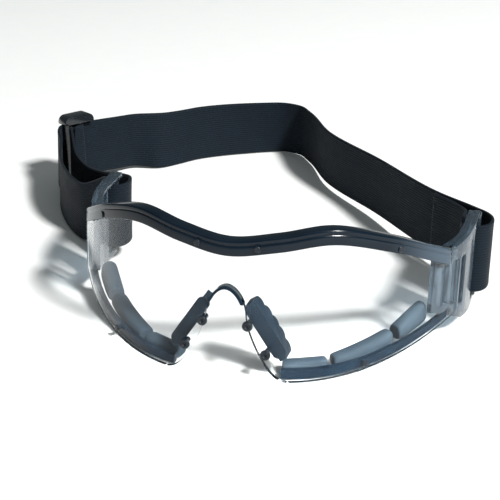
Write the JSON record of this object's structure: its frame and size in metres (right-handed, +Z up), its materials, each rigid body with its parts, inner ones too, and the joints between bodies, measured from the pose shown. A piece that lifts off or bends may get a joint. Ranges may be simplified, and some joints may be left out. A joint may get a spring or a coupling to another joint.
{
  "type": "safety goggles",
  "caption": "Wrap-around safety goggles: clear one-piece lens, brow bar, padded lower rims, vented side arms and an adjustable elastic head strap with a slider.",
  "frame": {"origin": "on the surface that the goggles stand on, in the goggles' plane of symmetry, level with the foremost point of the lens", "axes": "+Z up; +Y from the lens back towards the strap; +X towards the wearer's left, the goggles' plane of symmetry being X = 0"},
  "size_m": [0.2427, 0.2634, 0.0622],
  "materials": {
    "lens_clear": "clear polished polycarbonate",
    "bar_gloss": "glossy dark moulded plastic",
    "rim_dark": "dark moulded plastic",
    "pad_grey": "soft grey-blue foam rubber",
    "nose_grey": "soft grey-blue moulded rubber",
    "stud_dark": "dark moulded plastic",
    "arm_smoke": "translucent smoke-grey moulded plastic",
    "webbing": "woven elastic webbing",
    "slider_black": "glossy black moulded plastic"
  },
  "bodies": {
    "root": {"brow_bar": "bar_gloss", "brow_studs": "stud_dark", "face_pad_inner_left": "pad_grey", "face_pad_inner_right": "pad_grey", "face_pad_middle_left": "pad_grey", "face_pad_middle_right": "pad_grey", "face_pad_outer_left": "pad_grey", "face_pad_outer_right": "pad_grey", "lens": "lens_clear", "lower_rim_left": "rim_dark", "lower_rim_right": "rim_dark", "nose_arch": "rim_dark", "nose_pad_left": "nose_grey", "nose_pad_right": "nose_grey", "nose_pegs": "stud_dark", "rim_studs": "stud_dark", "side_arm_left": "arm_smoke", "side_arm_right": "arm_smoke"},
    "strap": {"strap_back_bend": "webbing", "strap_back_run": "webbing", "strap_left_bend": "webbing", "strap_left_inner": "webbing", "strap_left_loop": "webbing", "strap_left_outer": "webbing", "strap_right_loop": "webbing", "strap_right_run": "webbing", "strap_right_turn": "webbing", "strap_slider_run": "webbing"},
    "slider": {"strap_slider": "slider_black", "strap_tail": "webbing"}
  },
  "joints": [
    {"name": "strap_tilt", "type": "hinge", "parent": "root", "child": "strap", "pos_m": [0, 0.09272, 0.024], "axis": [1, 0, 0], "range_deg": [0, 12]},
    {"name": "slider_slide", "type": "slide", "parent": "strap", "child": "slider", "axis": [0.5793, 0.8128, -0.0617], "range_m": [0, 0.02]}
  ]
}
